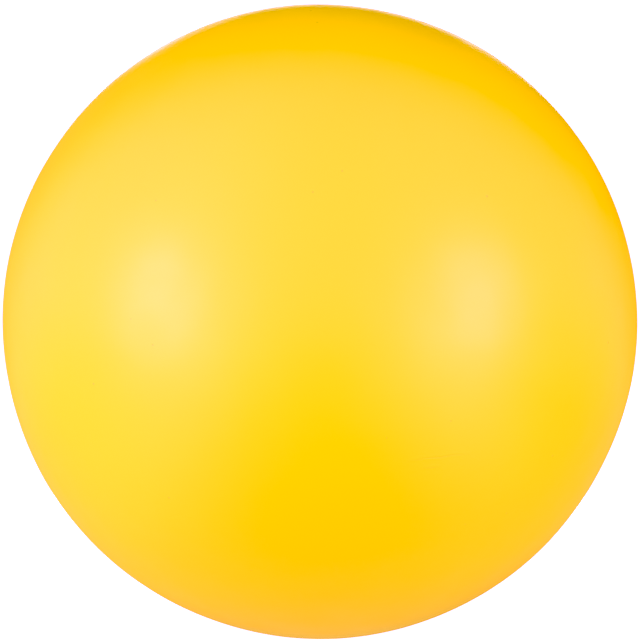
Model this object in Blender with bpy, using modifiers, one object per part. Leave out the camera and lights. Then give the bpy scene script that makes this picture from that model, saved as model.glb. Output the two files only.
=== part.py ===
"""Playground ball: an inflated rubber ball with a needle valve, built piece by piece.

Every piece is a body of revolution about the valve axis, world +Y. The origin is the ball's
centre, +Z is up, and the two moulded halves of the cover meet on the plane y = 0.
"""

from math import acos, asin, cos, pi, radians, sin, sqrt

import bpy

# ---- driving dimensions, in metres ----
BALL_RADIUS = 0.10795        # nominal 8.5 in diameter when inflated
COVER_WALL = 0.0014          # moulded rubber cover
WINDING_WALL = 0.0005        # layers of wound nylon thread
BLADDER_WALL = 0.0007        # butyl bladder
GAP = 0.0003                 # between pieces that touch on the real ball

COLLAR_RADIUS = 0.0060       # the valve housing's neck, seen at the surface
COLLAR_EDGE = 0.0004         # rounding of the collar's rim
FLANGE_RADIUS = 0.0160       # disc that seals against the bladder
FLANGE_ROOT = 0.0014         # flange thickness at the stem
FLANGE_RIM = 0.0005          # flange thickness at its edge
STEM_RADIUS = 0.0053         # the housing's tube, inside the ball
STEM_EDGE = 0.0010           # rounding of the stem's lower end
HOUSING_LENGTH = 0.0195      # collar face to the stem's lower end

HEAD_RADIUS = 0.0040         # valve core's head
HEAD_DEPTH = 0.0015          # its thickness
HEAD_SINK = 0.0004           # how far it sits below the collar face
HEAD_EDGE = 0.0003           # rounding of its rim
SHANK_RADIUS = 0.0025        # valve core's shank
SHANK_LENGTH = 0.0155        # below the head
SHANK_EDGE = 0.0012          # rounding of the shank's tip
CHANNEL_RADIUS = 0.0009      # takes a standard inflating needle
CHANNEL_DEPTH = 0.0110       # blind: the rubber below it closes on itself
FUNNEL_RADIUS = 0.0019       # flared mouth that guides the needle
FUNNEL_DEPTH = 0.0010

PATCH_RADIUS = 0.0220        # bonded disc that ties the flange to the bladder
PATCH_WALL = 0.0008
PATCH_EDGE_WALL = 0.0004
PATCH_STEP = 0.0014          # width of its joggle past the flange's rim

HOLE_EDGE = 0.0003           # rounding of the cover's valve hole

# ---- fineness of the turned shapes ----
SHELL_STEPS = 48             # facets round the valve axis; shared, so that layers stay parallel
VALVE_STEPS = 32
SHELL_RING = 7.5             # degrees between rings, pole to pole
NEAR_VALVE_RING = 2.5        # degrees between rings round the valve
NEAR_VALVE_END = 15.0

MATERIALS = {
    # name: (linear base colour, roughness)
    "cover_rubber": ((0.98, 0.60, 0.010), 0.42),
    "nylon_thread": ((0.78, 0.76, 0.70), 0.75),
    "butyl_rubber": ((0.030, 0.030, 0.032), 0.60),
    "patch_rubber": ((0.060, 0.055, 0.050), 0.70),
    "housing_rubber": ((0.90, 0.50, 0.015), 0.50),
    "core_rubber": ((0.045, 0.045, 0.045), 0.45),
}


def clear_scene():
    for thing in list(bpy.data.objects):
        bpy.data.objects.remove(thing, do_unlink=True)


def make_material(name):
    color, roughness = MATERIALS[name]
    material = bpy.data.materials.new(name)
    material.use_nodes = True
    shader = material.node_tree.nodes["Principled BSDF"]
    shader.inputs["Base Color"].default_value = (*color, 1.0)
    shader.inputs["Roughness"].default_value = roughness
    shader.inputs["Metallic"].default_value = 0.0
    return material


# ---- profiles: lists of (distance from the axis, height along it) ----

def on_sphere(radius, angle):
    """The profile point of a sphere at an angle from the valve's pole."""
    return (radius * sin(angle), radius * cos(angle))


def height_on(radius, out):
    """How high a sphere of this radius is at a distance out from the axis."""
    return sqrt(radius**2 - out**2)


def ring_angles(start, end):
    """Angles from start to end: fine round the valve, then evenly spaced."""
    near = [NEAR_VALVE_RING * i for i in range(1, int(NEAR_VALVE_END / NEAR_VALVE_RING))]
    far = [SHELL_RING * i for i in range(int(NEAR_VALVE_END / SHELL_RING), int(180 / SHELL_RING))]
    between = [radians(a) for a in near + far]
    return [start, *[a for a in between if start + 0.01 < a < end - 0.01], end]


def corner(centre, radius, start, end, steps=3):
    """Points on a small arc, from one angle in degrees to another, about a profile point."""
    turns = [radians(start + (end - start) * i / steps) for i in range(steps + 1)]
    return [(centre[0] + radius * cos(a), centre[1] + radius * sin(a)) for a in turns]


def cover_rear_profile():
    outer, inner = BALL_RADIUS, BALL_RADIUS - COVER_WALL
    hole = COLLAR_RADIUS + GAP
    rim = GAP / 2
    lip = hole + HOLE_EDGE
    mouth = asin(lip / outer)
    edge = corner((lip, height_on(outer, lip) - HOLE_EDGE), HOLE_EDGE, 180, 90, 2)
    down = [on_sphere(outer, a) for a in ring_angles(mouth, acos(rim / outer))]
    up = [on_sphere(inner, a) for a in ring_angles(asin(hole / inner), acos(rim / inner))]
    return edge[:-1] + down + up[::-1]


def cover_front_profile():
    outer, inner = BALL_RADIUS, BALL_RADIUS - COVER_WALL
    down = [on_sphere(outer, a) for a in ring_angles(acos(-GAP / 2 / outer), pi)]
    up = [on_sphere(inner, a) for a in ring_angles(acos(-GAP / 2 / inner), pi)]
    return up[::-1] + down


def lining_profile(outer, wall):
    """A whole sphere with a hole at the valve for the collar to pass through."""
    inner = outer - wall
    hole = COLLAR_RADIUS + GAP
    down = [on_sphere(outer, a) for a in ring_angles(asin(hole / outer), pi)]
    up = [on_sphere(inner, a) for a in ring_angles(asin(hole / inner), pi)]
    return up[::-1] + down


def flange_wall(angle):
    """The flange's thickness, which thins evenly from the stem to its rim."""
    root, rim = asin(STEM_RADIUS / FLANGE_SEAT), asin(FLANGE_RADIUS / FLANGE_SEAT)
    share = (angle - root) / (rim - root)
    return FLANGE_ROOT + (FLANGE_RIM - FLANGE_ROOT) * share


def housing_profile():
    top, bottom = BALL_RADIUS, BALL_RADIUS - HOUSING_LENGTH
    bore = SHANK_RADIUS + GAP
    sink = HEAD_RADIUS + GAP
    floor = top - HEAD_SINK - HEAD_DEPTH - GAP
    rim = asin(FLANGE_RADIUS / FLANGE_SEAT)
    root = asin(COLLAR_RADIUS / FLANGE_SEAT)
    under = asin((STEM_RADIUS + STEM_EDGE) / FLANGE_SEAT)
    angles = [root + (rim - root) * i / 4 for i in range(5)]
    below = [under + (rim - under) * i / 4 for i in range(5)]
    return [
        (sink, top - COLLAR_EDGE / 2),
        (sink + COLLAR_EDGE / 2, top),
        *corner((COLLAR_RADIUS - COLLAR_EDGE, top - COLLAR_EDGE), COLLAR_EDGE, 90, 0),
        *[on_sphere(FLANGE_SEAT, a) for a in angles],
        *[on_sphere(FLANGE_SEAT - flange_wall(a), a) for a in reversed(below)],
        (STEM_RADIUS, height_on(FLANGE_SEAT, STEM_RADIUS) - FLANGE_ROOT - STEM_EDGE),
        *corner((STEM_RADIUS - STEM_EDGE, bottom + STEM_EDGE), STEM_EDGE, 0, -90),
        (bore + COLLAR_EDGE, bottom),
        (bore, bottom + COLLAR_EDGE),
        (bore, floor),
        (sink, floor),
    ]


def core_profile():
    top = BALL_RADIUS - HEAD_SINK
    under = top - HEAD_DEPTH
    tip = under - SHANK_LENGTH
    end = top - CHANNEL_DEPTH
    return [
        *corner((0.0, end + CHANNEL_RADIUS), CHANNEL_RADIUS, -90, 0),
        (CHANNEL_RADIUS, top - FUNNEL_DEPTH),
        *corner((FUNNEL_RADIUS, top - FUNNEL_DEPTH), FUNNEL_DEPTH, 180, 90),
        *corner((HEAD_RADIUS - HEAD_EDGE, top - HEAD_EDGE), HEAD_EDGE, 90, 0),
        (HEAD_RADIUS, under),
        (SHANK_RADIUS, under),
        *corner((SHANK_RADIUS - SHANK_EDGE, tip + SHANK_EDGE), SHANK_EDGE, 0, -90),
        (0.0, tip),
    ]


def patch_profile():
    """A disc that lies under the flange, steps up past its rim, and lies on the bladder."""
    start = asin((STEM_RADIUS + STEM_EDGE + GAP) / FLANGE_SEAT)
    rim = asin((FLANGE_RADIUS + GAP) / FLANGE_SEAT)
    step = asin((FLANGE_RADIUS + GAP + PATCH_STEP) / FLANGE_SEAT)
    edge = asin(PATCH_RADIUS / FLANGE_SEAT)
    under_flange = [start + (rim - start) * i / 4 for i in range(5)]
    on_bladder = [step + (edge - step) * i / 3 for i in range(4)]
    top = [on_sphere(FLANGE_SEAT - flange_wall(a) - GAP, a) for a in under_flange]
    top += [on_sphere(FLANGE_SEAT, a) for a in on_bladder]
    low = [on_sphere(FLANGE_SEAT - flange_wall(a) - GAP - PATCH_WALL, a) for a in under_flange]
    low += [on_sphere(FLANGE_SEAT - PATCH_WALL, a) for a in on_bladder[:-1]]
    low += [on_sphere(FLANGE_SEAT - PATCH_EDGE_WALL, edge)]
    return top + low[::-1]


# ---- where the layers lie, from the outside in ----
WINDING_OUTER = BALL_RADIUS - COVER_WALL - GAP
BLADDER_OUTER = WINDING_OUTER - WINDING_WALL - GAP
FLANGE_SEAT = BLADDER_OUTER - BLADDER_WALL - GAP


def turned(name, material, profile, steps, closed, origin=0.0):
    """One piece turned about the valve axis, with its own origin at a place on that axis."""
    mesh = bpy.data.meshes.new(name)
    points = [(out, 0.0, height - origin) for out, height in profile]
    edges = [(i, i + 1) for i in range(len(points) - 1)]
    if closed:
        edges.append((len(points) - 1, 0))
    mesh.from_pydata(points, edges, [])
    mesh.materials.append(make_material(material))
    piece = bpy.data.objects.new(name, mesh)
    piece.rotation_euler.x = -pi / 2     # the profile's height runs along world +Y
    piece.location.y = origin
    screw = piece.modifiers.new("turned", "SCREW")
    screw.axis = "Z"
    screw.angle = 2 * pi
    screw.steps = screw.render_steps = steps
    screw.use_merge_vertices = True
    screw.merge_threshold = 1e-6
    screw.use_smooth_shade = True
    return piece


def build():
    clear_scene()
    ball = bpy.data.collections.new("playground_ball")
    bpy.context.scene.collection.children.link(ball)
    winding = lining_profile(WINDING_OUTER, WINDING_WALL)
    bladder = lining_profile(BLADDER_OUTER, BLADDER_WALL)
    for piece in (
        turned("cover_front", "cover_rubber", cover_front_profile(), SHELL_STEPS, False),
        turned("cover_rear", "cover_rubber", cover_rear_profile(), SHELL_STEPS, True),
        turned("thread_winding", "nylon_thread", winding, SHELL_STEPS, False),
        turned("bladder", "butyl_rubber", bladder, SHELL_STEPS, False),
        turned("valve_patch", "patch_rubber", patch_profile(), SHELL_STEPS, True),
        turned("valve_housing", "housing_rubber", housing_profile(), VALVE_STEPS, True),
        turned("valve_core", "core_rubber", core_profile(), VALVE_STEPS, False, BALL_RADIUS),
    ):
        ball.objects.link(piece)


build()
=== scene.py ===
"""Looks of the playground ball: fine rubber skins, valve, winding and materials in a light studio."""

import math

import bmesh
import bpy
import numpy as np
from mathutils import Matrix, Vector


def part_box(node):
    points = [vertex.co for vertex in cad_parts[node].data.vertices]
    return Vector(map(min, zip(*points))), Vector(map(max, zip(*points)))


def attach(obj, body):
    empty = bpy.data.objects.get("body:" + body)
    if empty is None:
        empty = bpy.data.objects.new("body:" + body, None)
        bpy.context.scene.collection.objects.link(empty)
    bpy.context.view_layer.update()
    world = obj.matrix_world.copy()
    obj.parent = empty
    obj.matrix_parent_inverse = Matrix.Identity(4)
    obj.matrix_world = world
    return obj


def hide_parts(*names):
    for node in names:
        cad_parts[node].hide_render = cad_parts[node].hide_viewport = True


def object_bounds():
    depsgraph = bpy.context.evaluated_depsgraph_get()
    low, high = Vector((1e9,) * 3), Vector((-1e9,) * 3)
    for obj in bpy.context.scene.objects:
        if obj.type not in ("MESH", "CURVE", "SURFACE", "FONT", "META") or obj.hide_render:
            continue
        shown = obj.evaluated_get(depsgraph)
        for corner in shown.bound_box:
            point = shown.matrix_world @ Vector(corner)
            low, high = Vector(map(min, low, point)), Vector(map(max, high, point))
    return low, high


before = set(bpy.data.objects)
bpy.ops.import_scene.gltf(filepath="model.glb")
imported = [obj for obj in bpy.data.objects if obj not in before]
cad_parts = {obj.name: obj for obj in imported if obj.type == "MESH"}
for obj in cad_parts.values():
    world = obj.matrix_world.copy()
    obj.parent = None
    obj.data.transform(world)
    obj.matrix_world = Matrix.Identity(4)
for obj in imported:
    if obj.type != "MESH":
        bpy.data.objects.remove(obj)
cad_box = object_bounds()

# ---------------------------------------------------------------- sizes, in metres

RADIUS = (cad_box[1][0] - cad_box[0][0]) / 2    # of the inflated ball; the valve axis is +Y
COVER_WALL = 0.0014
WINDING_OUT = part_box("thread_winding")[1][0]
BLADDER_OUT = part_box("bladder")[1][0]
BLADDER_WALL = 0.0007
GAP = 0.0003                                    # between the CAD layers

HOLE = 0.0063                                   # valve hole in the cover, winding and bladder
COLLAR = 0.0060                                 # the valve housing's neck
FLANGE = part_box("valve_housing")[1][0]
FLANGE_ROOT = 0.0014                            # the flange's thickness at the stem
FLANGE_EDGE = 0.0005                            # and at its rim
STEM = 0.0053
STEM_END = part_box("valve_housing")[0][1]
STEM_ROUND = 0.0010
BORE = 0.0028
SINK = 0.0043                                   # counterbore for the core's head
SINK_FLOOR = 0.10575
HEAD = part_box("valve_core")[1][0]
HEAD_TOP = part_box("valve_core")[1][1]
HEAD_DEPTH = 0.0015
SHANK = 0.0025
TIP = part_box("valve_core")[0][1]
TIP_ROUND = 0.0012
RIB_DROPS = (0.0030, 0.0055, 0.0080)            # of the sealing ribs, below the head
RIB_HEIGHT = 0.00014
RIB_STEP = 0.00018                              # an eighth of a rib's width
CHANNEL = 0.0009
CHANNEL_END = HEAD_TOP - 0.0110
FUNNEL = 0.0019
FUNNEL_DEPTH = 0.0010
FLANGE_SEAT = BLADDER_OUT - BLADDER_WALL - GAP  # radius of the flange's top, under the bladder
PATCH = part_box("valve_patch")[1][0]
PATCH_WALL = 0.0008
PATCH_THIN = 0.0004                             # what the patch loses towards its rim
PATCH_STEP = 0.0014                             # width of its step off the flange's rim

rng = np.random.default_rng(17)


# ---------------------------------------------------------------- node helpers

MIX_FIRST = 6                                   # the Mix node's colour sockets
MIX_SECOND = 7
MIX_RESULT = 2


def new_material(name):
    material = bpy.data.materials.new(name)
    material.use_nodes = True
    return material, material.node_tree, material.node_tree.nodes["Principled BSDF"]


def add_node(tree, kind, **values):
    """A node with its inputs set by name, or its properties where no input has that name."""
    node = tree.nodes.new(kind)
    for name, value in values.items():
        label = name.replace("_", " ")
        if label in node.inputs:
            node.inputs[label].default_value = value
        else:
            setattr(node, name, value)
    return node


def add_noise(tree, place, scale, detail=3.0, roughness=0.5):
    node = add_node(tree, "ShaderNodeTexNoise", Scale=scale, Detail=detail, Roughness=roughness)
    tree.links.new(place, node.inputs["Vector"])
    return node.outputs["Fac"]


def spread(tree, value, low, high, start=0.3, stop=0.7):
    """Maps a value between start and stop to the range from low to high."""
    node = add_node(tree, "ShaderNodeMapRange")
    node.inputs["From Min"].default_value = start
    node.inputs["From Max"].default_value = stop
    node.inputs["To Min"].default_value = low
    node.inputs["To Max"].default_value = high
    tree.links.new(value, node.inputs["Value"])
    return node.outputs["Result"]


def blend_color(tree, share, first, second):
    """first where share is 0 and second where it is 1; each is a colour or an output."""
    node = tree.nodes.new("ShaderNodeMix")
    node.data_type = "RGBA"
    tree.links.new(share, node.inputs["Factor"])
    for value, place in ((first, MIX_FIRST), (second, MIX_SECOND)):
        socket = node.inputs[place]
        if isinstance(value, tuple):
            socket.default_value = (*value, 1.0)
        else:
            tree.links.new(value, socket)
    return node.outputs[MIX_RESULT]


def add_bump(tree, shader, heights):
    """Chains bumps: each entry is (height output, distance in metres, strength)."""
    last = None
    for height, distance, strength in heights:
        node = add_node(tree, "ShaderNodeBump", Distance=distance, Strength=strength)
        tree.links.new(height, node.inputs["Height"])
        if last:
            tree.links.new(last, node.inputs["Normal"])
        last = node.outputs["Normal"]
    tree.links.new(last, shader.inputs["Normal"])


def object_place(tree):
    return tree.nodes.new("ShaderNodeTexCoord").outputs["Object"]


def mark(tree, name):
    """A mesh attribute, such as how deep in a pit or scuff a point is."""
    node = tree.nodes.new("ShaderNodeAttribute")
    node.attribute_name = name
    return node.outputs["Fac"]


# ---------------------------------------------------------------- materials

YELLOW = (0.985, 0.556, 0.0012)
YELLOW_WARM = (0.975, 0.540, 0.0010)
# painted shade: the colour at the bottom of each pit
PIT_SHADE = (0.52, 0.30, 0.012)
# painted shade: the colour along the bottom of each scuff's groove
SCUFF_SHADE = (0.72, 0.42, 0.004)
COLLAR_YELLOW = (0.94, 0.510, 0.0015)
COLLAR_WARM = (0.88, 0.455, 0.0020)
CORE_BLACK = (0.105, 0.105, 0.108)           # black rubber that handling has greyed
PATCH_BLACK = (0.120, 0.112, 0.104)
BUTYL_BLACK = (0.090, 0.090, 0.093)
THREAD_BED = (0.70, 0.66, 0.55)
THREAD_PALE = (0.86, 0.84, 0.77)
LATEX_STAIN = (0.62, 0.52, 0.34)


def cover_rubber():
    """Satin moulded rubber: even pigment, a very fine skin grain, and painted shade in the pits and
    along the scuffs.
    """
    material, tree, shader = new_material("cover_rubber")
    place = object_place(tree)
    clouds = spread(tree, add_noise(tree, place, scale=22.0), 0.0, 1.0)
    color = blend_color(tree, clouds, YELLOW, YELLOW_WARM)
    # painted shade along each scuff
    color = blend_color(tree, mark(tree, "scuff"), color, SCUFF_SHADE)
    # painted shade in each pit
    color = blend_color(tree, mark(tree, "pit"), color, PIT_SHADE)
    tree.links.new(color, shader.inputs["Base Color"])
    gloss = spread(tree, add_noise(tree, place, scale=60.0, detail=4.0), 0.39, 0.45)
    tree.links.new(gloss, shader.inputs["Roughness"])
    shader.inputs["Specular IOR Level"].default_value = 1.0
    peel = add_noise(tree, place, scale=260.0, detail=2.0)
    grain = add_noise(tree, place, scale=1900.0, roughness=0.6)
    add_bump(tree, shader, [(peel, 0.00002, 0.5), (grain, 0.000008, 0.5)])
    return material


def dark_rubber(name, color, rough, grain_scale):
    """Plain moulded black rubber with a bloom of paler dust."""
    material, tree, shader = new_material(name)
    place = object_place(tree)
    dust = add_noise(tree, place, scale=grain_scale / 8, detail=5.0, roughness=0.6)
    bloom = spread(tree, dust, 0.0, 0.5, start=0.35, stop=0.8)
    paler = tuple(c * 1.5 + 0.02 for c in color)
    tree.links.new(blend_color(tree, bloom, color, paler), shader.inputs["Base Color"])
    gloss = spread(tree, add_noise(tree, place, scale=grain_scale / 3), rough - 0.06, rough + 0.08)
    tree.links.new(gloss, shader.inputs["Roughness"])
    grain = add_noise(tree, place, scale=grain_scale, detail=4.0, roughness=0.65)
    add_bump(tree, shader, [(grain, 0.00006, 0.5)])
    return material


def housing_rubber():
    """The collar is moulded in the cover's colour, a little deeper and duller."""
    material, tree, shader = new_material("housing_rubber")
    place = object_place(tree)
    clouds = spread(tree, add_noise(tree, place, scale=180.0, detail=4.0), 0.0, 1.0)
    color = blend_color(tree, clouds, COLLAR_YELLOW, COLLAR_WARM)
    tree.links.new(color, shader.inputs["Base Color"])
    gloss = spread(tree, add_noise(tree, place, scale=500.0), 0.44, 0.56)
    tree.links.new(gloss, shader.inputs["Roughness"])
    grain = add_noise(tree, place, scale=2600.0, roughness=0.6)
    add_bump(tree, shader, [(grain, 0.00002, 0.5)])
    return material


def nylon_thread():
    """Off-white thread under a thin coat of latex, with fibres along each strand."""
    material, tree, shader = new_material("nylon_thread")
    place = object_place(tree)
    color = blend_color(tree, mark(tree, "strand"), THREAD_BED, THREAD_PALE)
    latex = add_noise(tree, place, scale=45.0, detail=5.0, roughness=0.6)
    stain = spread(tree, latex, 0.0, 0.6, start=0.45, stop=0.75)
    color = blend_color(tree, stain, color, LATEX_STAIN)
    tree.links.new(color, shader.inputs["Base Color"])
    gloss = spread(tree, add_noise(tree, place, scale=300.0), 0.45, 0.75)
    tree.links.new(gloss, shader.inputs["Roughness"])
    fibre = add_noise(tree, place, scale=3200.0, roughness=0.7)
    add_bump(tree, shader, [(fibre, 0.00005, 0.6)])
    return material


# ---------------------------------------------------------------- turned meshes about +Y

def way_to(azimuth, elevation):
    """A unit direction. Azimuth 0 is the camera's side and + is to its right, in degrees."""
    a = math.radians(azimuth)
    e = math.radians(elevation)
    return (math.sin(a) * math.cos(e), -math.cos(a) * math.cos(e), math.sin(e))


def steps_between(start, end, count):
    return [start + (end - start) * i / count for i in range(count + 1)]


def arc(centre, radius, start, end, steps):
    """Profile points on a small arc about a point, from one angle in degrees to another."""
    turns = [math.radians(t) for t in steps_between(start, end, steps)]
    return [(centre[0] + radius * math.cos(a), centre[1] + radius * math.sin(a)) for a in turns]


def on_sphere(radius, angle):
    """The profile point on a sphere at an angle from the valve's pole, in radians."""
    return (radius * math.sin(angle), radius * math.cos(angle))


def dome(radius, start, end, steps):
    return [on_sphere(radius, a) for a in steps_between(start, end, steps)]


def height_on(radius, out):
    return math.sqrt(radius**2 - out**2)


def revolve(profile, steps, closed):
    """Vertices and faces of a profile of (out, height) turned about +Y, as one closed body."""
    turns = np.linspace(0, 2 * np.pi, steps, endpoint=False)
    verts, rows = [], []
    for out, height in profile:
        if out < 1e-9:
            rows.append([len(verts)] * steps)
            verts.append((0.0, height, 0.0))
        else:
            rows.append(list(range(len(verts), len(verts) + steps)))
            verts += [(out * math.cos(t), height, out * math.sin(t)) for t in turns]
    pairs = list(zip(rows[:-1], rows[1:]))
    if closed:
        pairs.append((rows[-1], rows[0]))
    faces = []
    for one, two in pairs:
        for i in range(steps):
            j = (i + 1) % steps
            corners = list(dict.fromkeys((one[i], one[j], two[j], two[i])))
            if len(corners) > 2:
                faces.append(corners)
    return verts, faces


def show(name, mesh, material, body, node, sharp):
    """Puts a mesh in the scene as a piece that stands for a CAD node and rides on its body."""
    mesh.shade_smooth()
    mesh.set_sharp_from_angle(angle=math.radians(sharp))
    mesh.materials.append(material)
    piece = bpy.data.objects.new(name, mesh)
    bpy.context.scene.collection.objects.link(piece)
    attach(piece, body)
    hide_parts(node)
    return piece


def make_piece(name, verts, faces, material, body, node, sharp=40):
    mesh = bpy.data.meshes.new(name)
    mesh.from_pydata(verts, [], faces)
    shape = bmesh.new()
    shape.from_mesh(mesh)
    bmesh.ops.recalc_face_normals(shape, faces=shape.faces)
    shape.to_mesh(mesh)
    shape.free()
    return show(name, mesh, material, body, node, sharp)


# ---------------------------------------------------------------- the cover's skin

CELL = math.radians(0.95)       # about 1.8 mm on the surface
FINE = 0.00022                  # edge length in pits and scuffs
RIM_ROWS = [0.0, 0.00012, 0.00025, 0.0004, 0.0006, 0.0009, 0.0014, 0.0022]    # off the parting line
SPLITS = 5                      # halvings that bring CELL down to FINE
VALVE_ROWS = 26                 # close rings round the valve hole
VALVE_AREA = 0.0135             # and how far out they go
REAR_STEPS = 360
RIM_ANGLE = math.radians(30)    # the rear's rings follow the parting line's rows this far
LIP = 0.0003                    # rounding of the hole's edge
LINING_RINGS = 24               # rings that close a half's inside

PIT_COUNT = 36
PIT_DEPTH = 0.00012
PIT_RIM = 0.00002               # how far the skin stands up round a pit
SCUFF_DEPTHS = (0.00005, 0.00003)
SCUFF_HALF = 0.00018            # half a scuff's width
SCUFF_SHADE_SHARE = 0.5               # how much of the painted shade along a scuff shows
SCUFF_SHADE_HALF = 0.00030
SCUFF_SPACING = 0.0005
SCUFF_REACH = 0.0011            # how far the fine faces go beside a scuff


def random_ways(count):
    ways = rng.normal(size=(count, 3))
    return ways / np.linalg.norm(ways, axis=1)[:, None]


def scuff_line(*places):
    return [np.array(way_to(azimuth, elevation)) for azimuth, elevation in places]


# where each pit is, and how wide
PITS = [(way, rng.uniform(0.00016, 0.00032)) for way in random_ways(PIT_COUNT)]
# A scratch left by a rough surface, low on the right of the front, with a shorter one under it.
SCUFFS = [
    scuff_line((16.2, -24.1), (19.4, -23.4), (22.4, -23.3), (24.8, -22.9), (28.6, -22.8)),
    scuff_line((19.5, -25.3), (22.9, -25.1)),
]


def scuff_points():
    """Directions at even spacing along each scuff."""
    points = []
    for line in SCUFFS:
        for a, b in zip(line[:-1], line[1:]):
            count = max(2, int(np.linalg.norm(b - a) * RADIUS / SCUFF_SPACING))
            points += [a + (b - a) * i / count for i in range(count)]
        points.append(line[-1])
    return [p / np.linalg.norm(p) for p in points]


def refine(shape):
    """Splits the faces round each pit and scuff until their edges are fine."""
    spots = [(way, 4.5 * size) for way, size in PITS] + [(p, SCUFF_REACH) for p in scuff_points()]
    for _ in range(SPLITS):
        shape.faces.ensure_lookup_table()
        centres = np.array([f.calc_center_median()[:] for f in shape.faces])
        size = np.array([f.calc_perimeter() / len(f.verts) for f in shape.faces]) * RADIUS
        gap = np.full(len(centres), np.inf)
        for way, reach in spots:
            off = np.linalg.norm(centres - way, axis=1) * RADIUS - reach
            gap = np.minimum(gap, off - size * 0.7)
        chosen = [shape.faces[i] for i in np.nonzero((gap < 0) & (size > FINE))[0]]
        if not chosen:
            break
        edges = {e for f in chosen for e in f.edges if e.calc_length() > FINE / RADIUS}
        bmesh.ops.subdivide_edges(shape, edges=list(edges), cuts=1, use_grid_fill=True)
        for vert in shape.verts:
            vert.co.normalize()
    bmesh.ops.triangulate(shape, faces=[f for f in shape.faces if len(f.verts) > 4])


def waves(ways, count, pitch, seed):
    """A smooth random field over the sphere, of about unit height."""
    own = np.random.default_rng(seed)
    field = np.zeros(len(ways))
    for _ in range(count):
        turn = own.normal(size=3)
        turn *= (2 * np.pi * RADIUS / pitch) / np.linalg.norm(turn)
        field += np.sin(ways @ turn + own.uniform(0, 2 * np.pi))
    return field / math.sqrt(count / 2)


def off_line(points, line):
    """The distance in metres from each point to a line of directions, and the share along it."""
    best = np.full(len(points), np.inf)
    along = np.zeros(len(points))
    for i, (a, b) in enumerate(zip(line[:-1], line[1:])):
        step = b - a
        share = np.clip(((points - a) @ step) / (step @ step), 0, 1)
        far = np.linalg.norm(points - a - share[:, None] * step, axis=1) * RADIUS
        closer = far < best
        best[closer] = far[closer]
        along[closer] = (i + share[closer]) / (len(line) - 1)
    return best, along


def bell(values, middle, half):
    return np.exp(-(((values - middle) / half) ** 2))


def skin_marks(ways):
    """(radial offset, pit, scuff) at each direction on the cover's outer surface."""
    offset = 0.00005 * waves(ways, 24, 0.060, 5) + 0.00001 * waves(ways, 40, 0.014, 6)
    pit = np.zeros(len(ways))
    scuff = np.zeros(len(ways))
    for way, size in PITS:
        far = np.linalg.norm(ways - way, axis=1) * RADIUS / size
        near = far < 6
        dip = bell(far[near], 0, 1)
        rim = np.exp(-((far[near] - 1.8) ** 2) * 3)
        offset[near] -= PIT_DEPTH * dip - PIT_RIM * rim
        # the pit mask: where the pit's shade is painted into the colour
        pit[near] = np.maximum(pit[near], np.clip(1.3 * dip, 0, 1))
    for line, depth in zip(SCUFFS, SCUFF_DEPTHS):
        far, along = off_line(ways, line)
        fade = np.sin(np.pi * np.clip(along, 0.04, 0.96)) ** 0.6
        offset -= depth * fade * bell(far, 0, SCUFF_HALF)
        offset += 0.4 * depth * fade * bell(far, 2.5 * SCUFF_HALF, SCUFF_HALF)
        # the scuff mask: where the groove's shade is painted into the colour, over a band of half width
        # SCUFF_SHADE_HALF
        scuff = np.maximum(scuff, SCUFF_SHADE_SHARE * fade * bell(far, 0, SCUFF_SHADE_HALF))
    return offset, pit, scuff


def flash(ways):
    """The trimmed line of rubber where the mould's halves met: a low bead with a hair-thin cleft."""
    off = np.abs(ways[:, 1]) * RADIUS
    return 0.00007 * bell(off, 0, 0.00045) - 0.00005 * bell(off, 0, 0.00010)


def land(ways):
    """The moulded ring round the valve: a low bead 10 mm out, and a slight dish inside it."""
    out = np.hypot(ways[:, 0], ways[:, 2]) * RADIUS
    out[ways[:, 1] < 0] = 1.0
    bead = 0.00016 * bell(out, 0.0102, 0.0006)
    dish = -0.00006 / (1 + np.exp((out - 0.0098) / 0.0003))
    return bead + dish


def side_rows(start):
    """Angles off the parting plane: close rows next to it, then even ones up to start."""
    near = [math.asin(s / RADIUS) for s in RIM_ROWS]
    count = int((start - near[-1]) / CELL)
    return near + steps_between(near[-1], start, count)[1:]


def front_grid():
    """The front half as an even grid of quads on a unit sphere: a cap and four half sides."""
    count = 2 * int(math.pi / 4 / CELL)
    across = [math.tan(math.pi / 4 * (2 * i / count - 1)) for i in range(count + 1)]
    rows = [math.tan(a) for a in side_rows(math.pi / 4)]
    verts, faces = [], []

    def add_grid(first, second, point):
        base = len(verts)
        for u in first:
            for v in second:
                p = np.array(point(u, v))
                verts.append(tuple(p / np.linalg.norm(p)))
        for i in range(len(first) - 1):
            for j in range(len(second) - 1):
                at = base + i * len(second) + j
                faces.append((at, at + len(second), at + len(second) + 1, at + 1))

    add_grid(across, across, lambda u, v: (u, -1, v))
    for sign in (1, -1):
        add_grid(across, rows, lambda u, v: (sign, -v, u))
        add_grid(across, rows, lambda u, v: (u, -v, sign))
    return verts, faces


def rear_grid():
    """The rear half as rings about the valve's pole, close together near the hole and the rim."""
    first = math.asin((HOLE + LIP) / RADIUS)
    last = math.asin(VALVE_AREA / RADIUS)
    rim = math.pi / 2 - RIM_ANGLE
    near = steps_between(first, last, VALVE_ROWS)[:-1]
    middle = steps_between(last, rim, int((rim - last) / CELL))[:-1]
    outer = [math.pi / 2 - a for a in reversed(side_rows(RIM_ANGLE))]
    return revolve([on_sphere(1.0, a) for a in near + middle + outer], REAR_STEPS, False)


def face_outward(shape):
    bmesh.ops.recalc_face_normals(shape, faces=shape.faces)
    first = next(iter(shape.faces))
    if first.normal.dot(first.calc_center_median()) < 0:
        bmesh.ops.reverse_faces(shape, faces=shape.faces)


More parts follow.
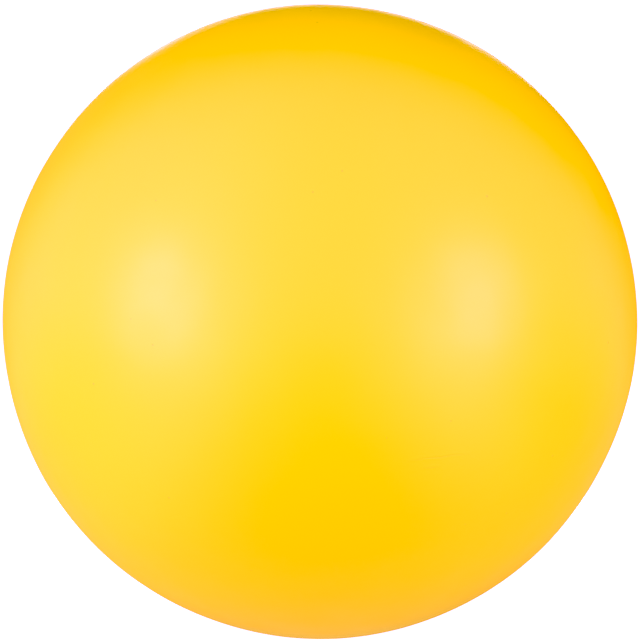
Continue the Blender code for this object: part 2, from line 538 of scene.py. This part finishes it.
def raise_skin(shape):
    """Moves a unit sphere's points to the cover's outer surface, with its marks as attributes."""
    ways = np.array([v.co[:] for v in shape.verts])
    offset, pit, scuff = skin_marks(ways)
    offset += flash(ways) + land(ways)
    outer = ways * (RADIUS + offset)[:, None]
    marks = {"pit": pit, "scuff": scuff}
    layers = {name: shape.verts.layers.float.new(name) for name in marks}
    for i, vert in enumerate(shape.verts):
        vert.co = outer[i]
        for name, layer in layers.items():
            vert[layer] = marks[name][i]


def make_skin(name, verts, faces, node, close_inside):
    """One half of the cover: a detailed outer surface, an even inner one, and a rim that joins them."""
    mesh = bpy.data.meshes.new(name)
    mesh.from_pydata(verts, [], faces)
    shape = bmesh.new()
    shape.from_mesh(mesh)
    bmesh.ops.remove_doubles(shape, verts=shape.verts, dist=1e-6)
    refine(shape)
    face_outward(shape)
    raise_skin(shape)
    close_inside(shape, [e for e in shape.edges if e.is_boundary])
    shape.to_mesh(mesh)
    shape.free()
    return show(name, mesh, COVER_RUBBER, "ball", node, sharp=50)


def at_radius(co, out, y):
    """The point beside co that is as far round the valve's axis, out from it at height y."""
    flat = Vector((co.x, 0, co.z)).normalized()
    return Vector((flat.x * out, y, flat.z * out))


def inward(shape, edges, out, y):
    """Extrudes a loop of edges to a ring about the valve's axis, and returns the ring's edges."""
    made = bmesh.ops.extrude_edge_only(shape, edges=edges)["geom"]
    for vert in (v for v in made if isinstance(v, bmesh.types.BMVert)):
        vert.co = at_radius(vert.co, out, y)
    return [e for e in made if isinstance(e, bmesh.types.BMEdge)]


def close_front(shape, rim):
    """Carries the rim in through the wall, then closes the inside with rings and a small cap."""
    inner = RADIUS - COVER_WALL
    rim = inward(shape, rim, inner, 0.0)
    for angle in steps_between(math.pi / 2, 0, LINING_RINGS)[1:-1]:
        out, height = on_sphere(inner, angle)
        rim = inward(shape, rim, out, -height)
    bmesh.ops.contextual_create(shape, geom=rim)


def close_rear(shape, open_edges):
    """Carries the rim in and over the inside, and the hole's rounded edge through the wall to it."""
    inner = RADIUS - COVER_WALL
    rim = [e for e in open_edges if abs(e.verts[0].co.y) < RADIUS / 2]
    mouth = [e for e in open_edges if abs(e.verts[0].co.y) > RADIUS / 2]
    rim = inward(shape, rim, inner, 0.0)
    top = height_on(RADIUS, HOLE + LIP)
    for degrees in (60, 30, 0):
        turn = math.radians(degrees)
        out = HOLE + LIP - LIP * math.cos(turn)
        mouth = inward(shape, mouth, out, top - LIP * (1 - math.sin(turn)))
    mouth = inward(shape, mouth, HOLE, height_on(inner, HOLE))
    for angle in steps_between(math.pi / 2, math.asin(HOLE / inner), LINING_RINGS)[1:-1]:
        rim = inward(shape, rim, *on_sphere(inner, angle))
    bmesh.ops.bridge_loops(shape, edges=rim + mouth)


COVER_RUBBER = cover_rubber()
make_skin("cover_front_skin", *front_grid(), "cover_front", close_front)
make_skin("cover_rear_skin", *rear_grid(), "cover_rear", close_rear)


# ---------------------------------------------------------------- valve

VALVE_STEPS = 96
PATCH_STEPS = 128
FLANGE_RINGS = 10
PATCH_RINGS = 40


def flange_under(angle):
    """The radius of the flange's underside, which thins from the stem to the rim."""
    root = math.asin(STEM / FLANGE_SEAT)
    rim = math.asin(FLANGE / FLANGE_SEAT)
    return FLANGE_SEAT - (FLANGE_ROOT - (FLANGE_ROOT - FLANGE_EDGE) * (angle - root) / (rim - root))


def add_housing():
    """Collar, flange under the bladder, and the stem with its bore and counterbore."""
    rim = math.asin(FLANGE / FLANGE_SEAT)
    root = math.asin(COLLAR / FLANGE_SEAT)
    under = math.asin((STEM + STEM_ROUND) / FLANGE_SEAT)
    below = [on_sphere(flange_under(a), a) for a in steps_between(rim, under, FLANGE_RINGS)]
    profile = [
        *arc((SINK + 0.0003, RADIUS - 0.0003), 0.0003, 180, 90, 4),
        *arc((COLLAR - 0.0004, RADIUS - 0.0004), 0.0004, 90, 0, 5),
        *dome(FLANGE_SEAT, root, rim, FLANGE_RINGS),
        *below,
        *arc((STEM + STEM_ROUND, below[-1][1] - STEM_ROUND), STEM_ROUND, 90, 180, 4)[1:],
        *arc((STEM - STEM_ROUND, STEM_END + STEM_ROUND), STEM_ROUND, 0, -90, 5),
        *arc((BORE + 0.0005, STEM_END + 0.0005), 0.0005, -90, -180, 4),
        (BORE, SINK_FLOOR),
        (SINK, SINK_FLOOR),
    ]
    verts, faces = revolve(profile, VALVE_STEPS, True)
    rubber = housing_rubber()
    make_piece("valve_housing_fine", verts, faces, rubber, "ball", "valve_housing")


def core_profile():
    """Head, three sealing ribs on the shank, a rounded tip, and the blind needle channel."""
    under = HEAD_TOP - HEAD_DEPTH
    ribs = []
    for drop in RIB_DROPS:
        for i in range(-4, 5):
            swell = RIB_HEIGHT * (1 + math.cos(math.pi * i / 4)) / 2
            ribs.append((SHANK + swell, under - drop - i * RIB_STEP))
    return [
        *arc((0.0, CHANNEL_END + CHANNEL), CHANNEL, -90, 0, 5),
        (CHANNEL, HEAD_TOP - FUNNEL_DEPTH - 0.0004),
        *arc((FUNNEL, HEAD_TOP - FUNNEL_DEPTH), FUNNEL_DEPTH, 180, 90, 8),
        (HEAD - 0.0012, HEAD_TOP),
        *arc((HEAD - 0.0004, HEAD_TOP - 0.0004), 0.0004, 90, 0, 5),
        *arc((HEAD - 0.0002, under + 0.0002), 0.0002, 0, -90, 3),
        *arc((SHANK + 0.0004, under - 0.0004), 0.0004, 90, 180, 3),
        *ribs,
        *arc((SHANK - TIP_ROUND, TIP + TIP_ROUND), TIP_ROUND, 0, -90, 6),
        (0.0, TIP),
    ]


def add_core():
    verts, faces = revolve(core_profile(), VALVE_STEPS, False)
    material = dark_rubber("core_rubber", CORE_BLACK, rough=0.42, grain_scale=2400.0)
    make_piece("valve_core_fine", verts, faces, material, "valve_core", "valve_core")


def add_patch():
    """A disc that steps up off the flange's rim onto the bladder, and thins to its own rim."""
    start = math.asin((STEM + STEM_ROUND + GAP) / FLANGE_SEAT)
    rim = math.asin((FLANGE + GAP) / FLANGE_SEAT)
    step = math.asin((FLANGE + GAP + PATCH_STEP) / FLANGE_SEAT)
    edge = math.asin(PATCH / FLANGE_SEAT)
    top, low = [], []
    for angle in steps_between(start, edge, PATCH_RINGS):
        rise = np.clip((angle - rim) / (step - rim), 0, 1)
        rise = rise * rise * (3 - 2 * rise)
        held = flange_under(min(angle, rim)) - GAP
        radius = held + (FLANGE_SEAT - held) * rise
        wall = PATCH_WALL - PATCH_THIN * max(0.0, (angle - step) / (edge - step))
        top.append(on_sphere(radius, angle))
        low.append(on_sphere(radius - wall, angle))
    verts, faces = revolve(top + low[::-1], PATCH_STEPS, True)
    material = dark_rubber("patch_rubber", PATCH_BLACK, rough=0.62, grain_scale=900.0)
    make_piece("valve_patch_fine", verts, faces, material, "ball", "valve_patch")


add_housing()
add_core()
add_patch()


# ---------------------------------------------------------------- bladder and winding

def lining(outer, wall, rings, steps):
    """A whole spherical shell with the valve hole, as a closed body."""
    inner = outer - wall
    up = dome(inner, math.pi, math.asin(HOLE / inner), rings)
    down = dome(outer, math.asin(HOLE / outer), math.pi, rings)
    up[0] = (0.0, -inner)
    down[-1] = (0.0, -outer)
    return revolve(up + down, steps, False)


def add_bladder():
    """Butyl, with the low seam of its own mould at a quarter turn from the cover's."""
    verts, faces = lining(BLADDER_OUT, BLADDER_WALL, 72, 144)
    places = np.array(verts)
    outside = np.linalg.norm(places, axis=1) > BLADDER_OUT - BLADDER_WALL / 2
    seam = 0.0001 * bell(places[:, 0], 0, 0.002)
    grow = 1 + np.where(outside, seam / BLADDER_OUT, 0)
    verts = [tuple(p) for p in places * grow[:, None]]
    material = dark_rubber("butyl_rubber", BUTYL_BLACK, rough=0.50, grain_scale=700.0)
    make_piece("bladder_fine", verts, faces, material, "ball", "bladder")


THREAD = 0.00020            # half the thread's thickness
WINDING_WALL = 0.0005
TURNS = 150
TURN_POINTS = 80
TURN_LEAN = math.radians(4.2)       # the least a turn's plane leans, so that it misses the valve
GOLDEN_SHARE = 0.618034             # spreads the turns evenly, with no two alike
GOLDEN_ANGLE = math.radians(137.508)
BED_RISE = 0.0001                   # how far the bed stands up between the threads


def turn_points(k):
    """The corners of one turn of thread, four to a point, on a great circle."""
    low = math.sin(TURN_LEAN)
    tall = low + (1 - low) * ((k * GOLDEN_SHARE) % 1.0)
    flat = math.sqrt(1 - tall**2)
    spin = k * GOLDEN_ANGLE
    pole = np.array([flat * math.cos(spin), tall, flat * math.sin(spin)])
    side = np.cross(pole, (0.0, 1.0, 0.0))
    side = side / np.linalg.norm(side)
    ahead = np.cross(pole, side)
    points = []
    for i in range(TURN_POINTS):
        t = 2 * math.pi * i / TURN_POINTS
        out = side * math.cos(t) + ahead * math.sin(t)
        for way in (out, pole, -out, -pole):
            points.append(tuple(out * (WINDING_OUT - THREAD) + way * THREAD))
    return points


def turn_faces(base):
    """The four sides of one turn's closed ring, whose points start at base."""
    faces = []
    for i in range(TURN_POINTS):
        one = base + 4 * i
        two = base + 4 * ((i + 1) % TURN_POINTS)
        for c in range(4):
            d = (c + 1) % 4
            faces.append((one + c, two + c, two + d, one + d))
    return faces


def add_winding():
    """Turns of nylon thread on great circles that all miss the valve, over their latex-coated bed."""
    sunk = 2 * THREAD - BED_RISE
    verts, faces = lining(WINDING_OUT - sunk, WINDING_WALL - sunk, 48, 96)
    bed_count = len(verts)
    for k in range(TURNS):
        faces += turn_faces(len(verts))
        verts += turn_points(k)
    strand = [0.0] * bed_count + [1.0] * (len(verts) - bed_count)
    thread = nylon_thread()
    piece = make_piece(
        "thread_winding_fine", verts, faces, thread, "ball", "thread_winding", sharp=70
    )
    marks = piece.data.attributes.new("strand", "FLOAT", "POINT")
    marks.data.foreach_set("value", strand)


add_bladder()
add_winding()


# ---------------------------------------------------------------- camera, floor and light

# Some of these numbers weren't designed by hand. GLOWS, WARM, ROOM_LOW, ROOM_HIGH and the power of the
# two front soft boxes came out of a least-squares fitting program, and FILM_GREEN follows levels that
# another program measured.
CAMERA_FAR = 1.2            # a long lens, level with the ball's centre
CAMERA_LIFT = 0.00055
CAMERA_LENS = 197.7
CAMERA_SENSOR = 36.0
BLACK = 0.053
FILM_TOP = 2.0
FILM_GREEN = [(0.30, 0.31), (0.56, 0.562), (0.72, 0.628), (0.88, 0.695), (1.03, 0.752), (1.80, 1.04)]
WHITE = (1.0, 1.0, 1.0, 1.0)
COOL = (0.95, 0.95, 1.10, 1.0)                  # overhead light
WARM = (1.29, 1.00, 0.66, 1.0)                  # light off the table, which the ball tints
TABLE = (0.8, 0.8, 0.8, 1.0)
TABLE_GLOW = 1.6            # how bright the camera sees the table,
SWEEP_GLOW = 2.0            # and the backdrop behind it
TABLE_RADIUS = 6.0
TABLE_GAP = 0.0001          # between the ball and the table
ROOM_LOW = 0.70             # light from the pale table
ROOM_HIGH = 1.05            # and from the walls and ceiling
HORIZON = (-0.26, -0.16)    # where one turns into the other, as the sine of the elevation
OPEN_LEVEL = 0.09           # what is left of it behind the set, where the room is open
OPEN_LIFT = math.radians(28)
OPEN_EDGE = (0.56, 0.78)    # where the opening starts and is full, as the cosine off its middle
SOFTBOX_FAR = 1.0
SOFTBOXES = [               # name, azimuth, elevation, width, height, power
    ("softbox_left", -56, 7, 0.30, 0.46, 2.92),
    ("softbox_right", 54, 7, 0.30, 0.46, 2.49),
    ("softbox_back", 180, 10, 0.45, 0.40, 5.5),
]
GLOWS = [                   # azimuth, elevation, tightness, level
    (-50, -24, 15.0, 1.00),
    (49, -20, 15.0, 0.91),
    (3, -68, 8.0, 0.07),
    (-120, 20, 4.0, 0.27),
    (78, 14, 6.0, -0.32),
    (-34, 20, 14.0, 0.18),
    (-82, -20, 10.0, 0.46),
    (0, -28, 18.0, 0.12),
    (-150, 38, 8.0, -0.09),
    (146, 42, 9.0, -0.14),
    (180, -62, 7.0, -0.70),
    (-38, -8, 34.0, 1.58),
    (40, -8, 34.0, 1.90),
    (0, -85, 8.0, 0.13),
    (-60, 40, 10.0, 0.58),
    (60, 40, 10.0, 0.31),
]


def add_camera():
    camera = bpy.data.objects.new("camera", bpy.data.cameras.new("camera"))
    camera.data.lens = CAMERA_LENS
    camera.data.sensor_width = CAMERA_SENSOR
    camera.location = (0.0, -CAMERA_FAR, CAMERA_LIFT)
    camera.rotation_euler = (math.radians(90), 0, 0)
    bpy.context.scene.collection.objects.link(camera)
    bpy.context.scene.camera = camera


def add_softbox(name, azimuth, elevation, width, height, power):
    """A soft rectangular light that faces the ball."""
    light = bpy.data.lights.new(name, "AREA")
    light.shape = "RECTANGLE"
    light.size = width
    light.size_y = height
    light.energy = power
    holder = bpy.data.objects.new(name, light)
    way = Vector(way_to(azimuth, elevation))
    holder.location = way * SOFTBOX_FAR
    holder.rotation_euler = way.to_track_quat("Z", "Y").to_euler()
    holder.visible_camera = False
    bpy.context.scene.collection.objects.link(holder)


def dot_with(tree, way, fixed):
    node = add_node(tree, "ShaderNodeVectorMath", operation="DOT_PRODUCT")
    tree.links.new(way, node.inputs[0])
    node.inputs[1].default_value = fixed
    return node.outputs["Value"]


def do_math(tree, operation, *values):
    node = add_node(tree, "ShaderNodeMath", operation=operation)
    for socket, value in zip(node.inputs, values):
        if isinstance(value, float):
            socket.default_value = value
        else:
            tree.links.new(value, socket)
    return node.outputs[0]


def room_group():
    """Light by direction: bright overhead, dimmer below, open and dark behind, and a few glows."""
    group = bpy.data.node_groups.new("room", "ShaderNodeTree")
    group.interface.new_socket("Way", in_out="INPUT", socket_type="NodeSocketVector")
    group.interface.new_socket("Level", in_out="OUTPUT", socket_type="NodeSocketFloat")
    way = group.nodes.new("NodeGroupInput").outputs[0]
    up = spread(group, dot_with(group, way, (0, 0, 1)), ROOM_LOW, ROOM_HIGH, *HORIZON)
    back = dot_with(group, way, (0, math.cos(OPEN_LIFT), math.sin(OPEN_LIFT)))
    open_back = spread(group, back, 1.0, OPEN_LEVEL, *OPEN_EDGE)
    for node in (up.node, open_back.node):
        node.interpolation_type = "SMOOTHSTEP"
    level = do_math(group, "MULTIPLY", up, open_back)
    for azimuth, elevation, tight, strength in GLOWS:
        near = dot_with(group, way, way_to(azimuth, elevation))
        fall = do_math(group, "EXPONENT", do_math(group, "MULTIPLY_ADD", near, tight, -tight))
        level = do_math(group, "MULTIPLY_ADD", fall, strength, level)
    level = do_math(group, "MAXIMUM", level, 0.0)
    group.links.new(level, group.nodes.new("NodeGroupOutput").inputs[0])
    return group


def room_level(tree, way):
    node = tree.nodes.new("ShaderNodeGroup")
    node.node_tree = ROOM
    tree.links.new(way, node.inputs[0])
    return node.outputs[0]


def camera_pick(tree, others, camera):
    """One shader for what the camera sees and another for the light that falls on the ball."""
    pick = tree.nodes.new("ShaderNodeMixShader")
    tree.links.new(tree.nodes.new("ShaderNodeLightPath").outputs["Is Camera Ray"], pick.inputs["Fac"])
    tree.links.new(others.outputs[0], pick.inputs[1])
    tree.links.new(camera.outputs[0], pick.inputs[2])
    return pick.outputs[0]


def add_world():
    world = bpy.data.worlds.new("studio")
    bpy.context.scene.world = world
    world.use_nodes = True
    tree = world.node_tree
    tree.nodes.clear()
    way = tree.nodes.new("ShaderNodeTexCoord").outputs["Generated"]
    room = add_node(tree, "ShaderNodeBackground", Color=COOL)
    tree.links.new(room_level(tree, way), room.inputs["Strength"])
    sweep = add_node(tree, "ShaderNodeBackground", Color=WHITE, Strength=SWEEP_GLOW)
    output = tree.nodes.new("ShaderNodeOutputWorld")
    tree.links.new(camera_pick(tree, room, sweep), output.inputs["Surface"])


def add_floor():
    """A pale light table: it glows up at the ball, and the camera sees it washed to white."""
    material = bpy.data.materials.new("floor")
    material.use_nodes = True
    tree = material.node_tree
    tree.nodes.clear()
    unit = add_node(tree, "ShaderNodeVectorMath", operation="NORMALIZE")
    tree.links.new(tree.nodes.new("ShaderNodeTexCoord").outputs["Object"], unit.inputs[0])
    table = add_node(tree, "ShaderNodeEmission", Color=WARM)
    tree.links.new(room_level(tree, unit.outputs[0]), table.inputs["Strength"])
    pale = add_node(tree, "ShaderNodeBsdfDiffuse", Color=TABLE)
    glow = add_node(tree, "ShaderNodeEmission", Color=WHITE, Strength=TABLE_GLOW)
    washed = tree.nodes.new("ShaderNodeAddShader")
    tree.links.new(pale.outputs[0], washed.inputs[0])
    tree.links.new(glow.outputs[0], washed.inputs[1])
    output = tree.nodes.new("ShaderNodeOutputMaterial")
    tree.links.new(camera_pick(tree, table, washed), output.inputs["Surface"])
    height = -RADIUS - TABLE_GAP
    verts, faces = revolve([(0.0, height), (TABLE_RADIUS, height)], 64, False)
    mesh = bpy.data.meshes.new("floor")
    mesh.from_pydata([(x, z, y) for x, y, z in verts], [], faces)
    mesh.materials.append(material)
    floor = bpy.data.objects.new("floor", mesh)
    bpy.context.scene.collection.objects.link(floor)


def set_film():
    """Blacks end where the lens's flare does, and strong greens level off as on film."""
    settings = bpy.context.scene.view_settings
    settings.view_transform = "Standard"
    settings.use_curve_mapping = True
    film = settings.curve_mapping
    film.black_level = (BLACK, BLACK, BLACK)
    film.clip_max_x = film.clip_max_y = FILM_TOP
    green = film.curves[1]
    green.points[-1].location = FILM_GREEN[-1]
    for dark, bright in FILM_GREEN[:-1]:
        green.points.new(dark, bright)
    film.update()


ROOM = room_group()
add_camera()
for softbox in SOFTBOXES:
    add_softbox(*softbox)
add_world()
add_floor()
set_film()
